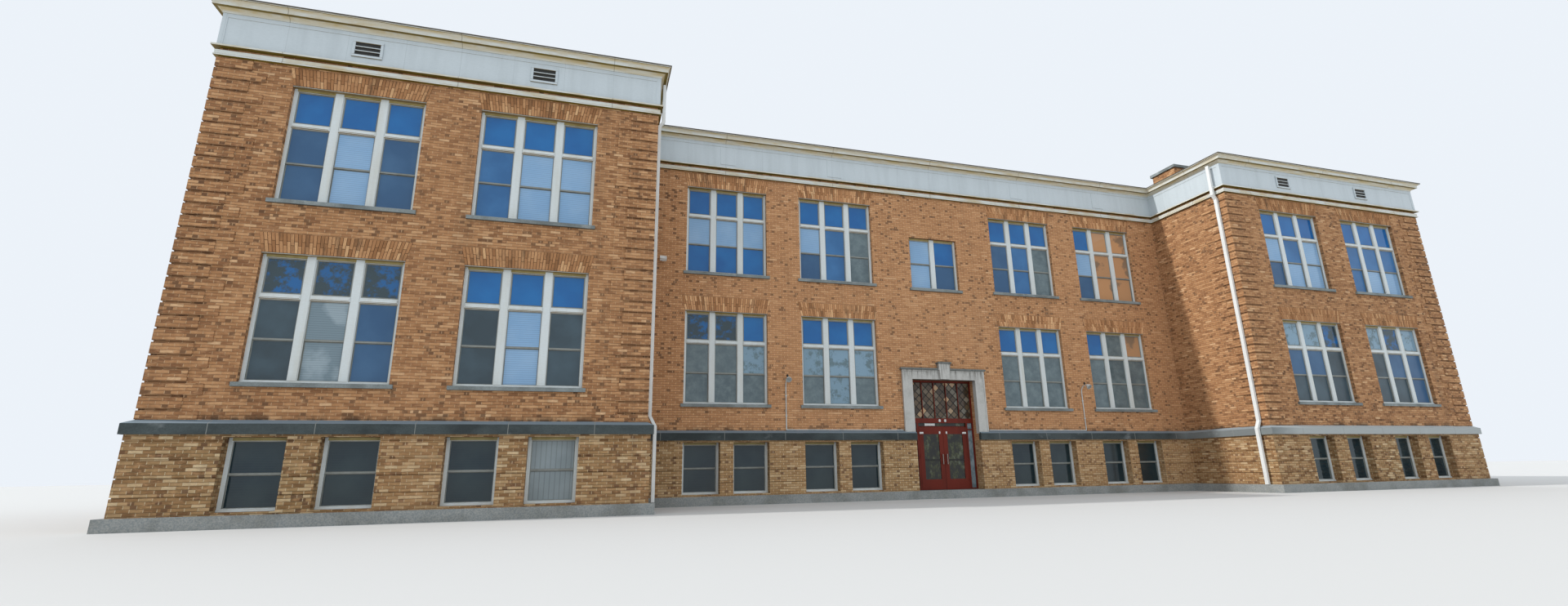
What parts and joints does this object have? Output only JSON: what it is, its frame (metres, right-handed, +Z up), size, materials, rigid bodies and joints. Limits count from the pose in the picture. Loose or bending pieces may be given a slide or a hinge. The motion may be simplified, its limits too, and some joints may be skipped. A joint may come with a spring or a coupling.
{
  "type": "apartment building",
  "caption": "Brick apartment building on an H-shaped plan, with triple windows, a raised basement, a cornice and a pair of entrance doors that open.",
  "frame": {"origin": "on the ground at the middle of the plan", "axes": "+Z up, the front faces -Y, +X to the right seen from the front"},
  "size_m": [39.694, 17.614, 12.28],
  "materials": {
    "main_brick": "matte",
    "arch_brick": "matte",
    "corner_brick": "matte",
    "basement_brick": "matte",
    "belt_stone": "rough",
    "surround_stone": "rough",
    "sill_stone": "rough",
    "concrete": "rough",
    "roof": "rough",
    "frieze_paint": "satin",
    "cornice_paint": "satin",
    "coping_metal": "matte",
    "window_paint": "satin",
    "window_glass": "gloss",
    "entrance_paint": "satin",
    "pipe_paint": "satin",
    "lamp_metal": "satin",
    "pull_metal": "brushed"
  },
  "bodies": {
    "building": {"basement_end_walls": "basement_brick", "basement_floor": "concrete", "basement_front_walls": "basement_brick", "basement_rear_walls": "basement_brick", "basement_side_walls": "basement_brick", "basement_window_frames": "window_paint", "basement_window_glass": "window_glass", "belt_course": "belt_stone", "centre_front_wall_left": "main_brick", "centre_front_wall_right": "main_brick", "centre_rear_wall": "main_brick", "chimney_cap": "sill_stone", "chimney_stack": "main_brick", "cornice": "cornice_paint", "doorstep": "concrete", "entrance_frame": "entrance_paint", "entrance_glass": "window_glass", "entrance_jambs": "surround_stone", "entrance_keystone": "surround_stone", "entrance_lintel": "surround_stone", "frieze": "frieze_paint", "frieze_vents": "frieze_paint", "ground_flat_arches": "arch_brick", "ground_window_frames": "window_paint", "ground_window_glass": "window_glass", "ground_window_sills": "sill_stone", "left_downpipe": "pipe_paint", "left_wing_corner_bands": "corner_brick", "left_wing_end_wall": "main_brick", "left_wing_front_wall": "main_brick", "left_wing_rear_wall": "main_brick", "left_wing_side_walls": "main_brick", "lower_moulding": "cornice_paint", "main_floor": "concrete", "parapet_coping": "coping_metal", "plinth": "concrete", "right_downpipe": "pipe_paint", "right_wing_corner_bands": "corner_brick", "right_wing_end_wall": "main_brick", "right_wing_front_wall": "main_brick", "right_wing_rear_wall": "main_brick", "right_wing_side_walls": "main_brick", "roof_deck": "roof", "stair_window_frames": "window_paint", "stair_window_glass": "window_glass", "stair_window_sills": "sill_stone", "upper_flat_arches": "arch_brick", "upper_floor": "concrete", "upper_window_frames": "window_paint", "upper_window_glass": "window_glass", "upper_window_sills": "sill_stone", "wall_lamps": "lamp_metal", "wall_over_entrance": "main_brick"},
    "left_door": {"left_door_glass": "window_glass", "left_door_leaf": "entrance_paint", "left_door_pull": "pull_metal"},
    "right_door": {"right_door_glass": "window_glass", "right_door_leaf": "entrance_paint", "right_door_pull": "pull_metal"}
  },
  "joints": [
    {"name": "left_door_hinge", "type": "hinge", "parent": "building", "child": "left_door", "pos_m": [-0.867, -5.09, 0.25], "axis": [0, 0, -1], "range_deg": [0, 90]},
    {"name": "right_door_hinge", "type": "hinge", "parent": "building", "child": "right_door", "pos_m": [0.867, -5.09, 0.25], "axis": [0, 0, 1], "range_deg": [0, 90]}
  ]
}
